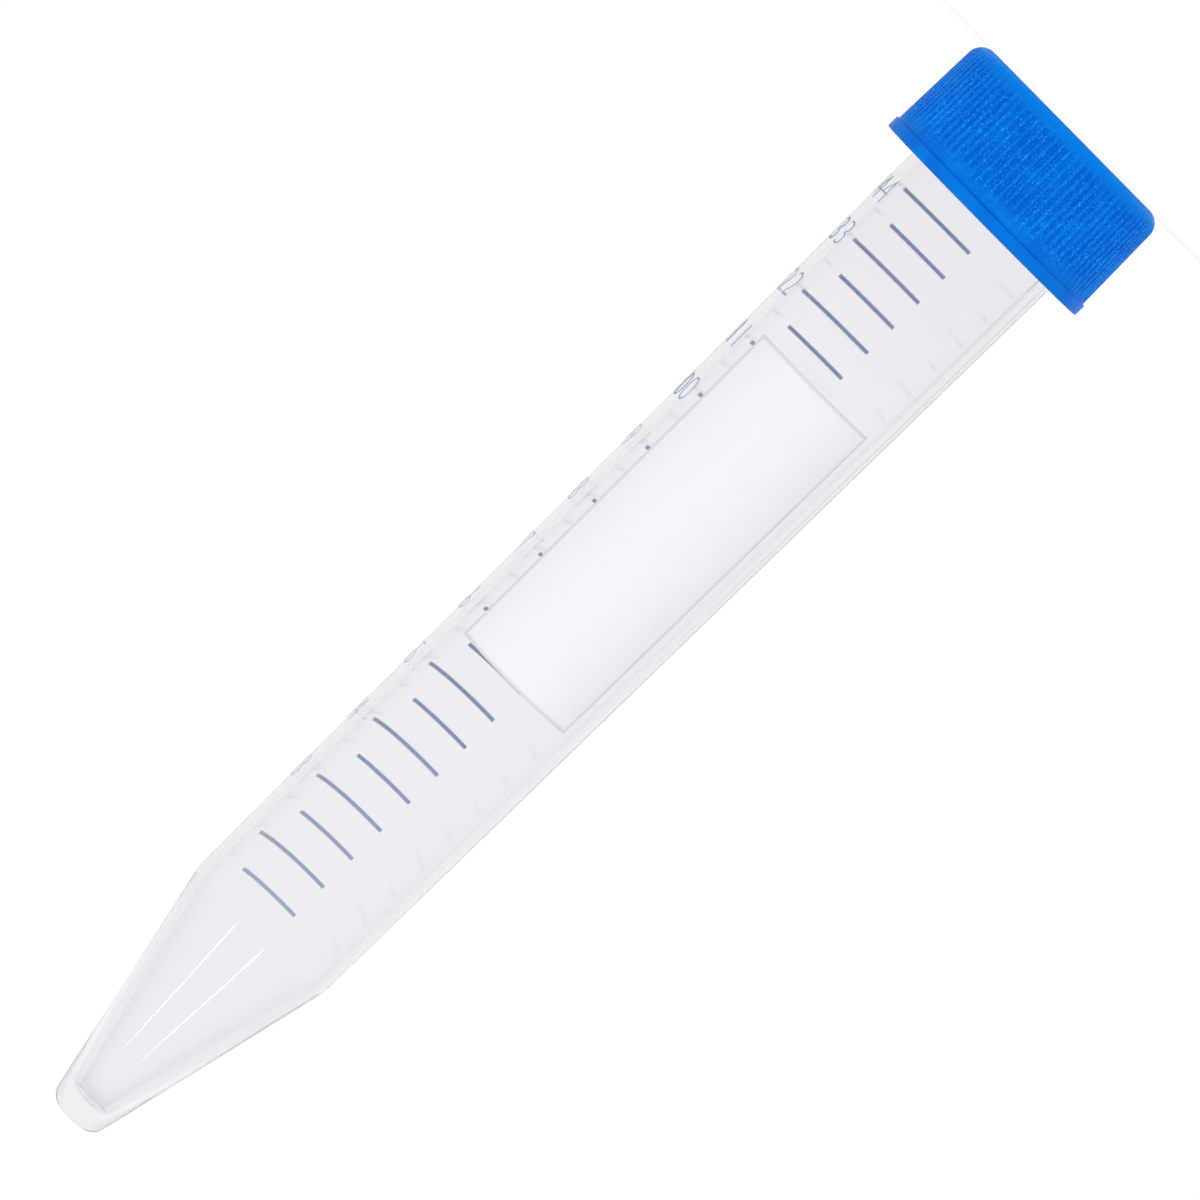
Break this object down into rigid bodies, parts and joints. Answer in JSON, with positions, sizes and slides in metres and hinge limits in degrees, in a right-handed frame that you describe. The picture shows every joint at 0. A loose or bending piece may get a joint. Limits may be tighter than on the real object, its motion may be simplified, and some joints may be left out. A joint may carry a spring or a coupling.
{
  "type": "conical tube",
  "caption": "Clear plastic conical tube with a ribbed blue screw cap, a printed millilitre scale and a white writing area, for spinning and storing small liquid samples.",
  "frame": {"origin": "centre of the cap's flat top, on which the part stands upside down", "axes": "+Z along the tube from the cap's top to the blunt tip; the writing area faces -Y, and the scale is on the other side, facing +Y and round to +X. Both read upright once the part is turned cap up."},
  "size_m": [0.0226, 0.0226, 0.12],
  "materials": {
    "cap": "moulded polyethylene, satin, fine upright ribs",
    "tube": "moulded polypropylene, cloudy and see-through",
    "white_ink": "screen-printed white, matt",
    "blue_ink": "screen-printed dark blue"
  },
  "bodies": {
    "cap": {"cap": "cap"},
    "tube": {"tube": "tube", "writing_panel": "white_ink", "graduation_lines": "blue_ink"}
  },
  "joints": [
    {"name": "cap_release", "type": "slide", "parent": "cap", "child": "tube", "axis": [0, 0, 1], "range_m": [0, 0.03]}
  ]
}
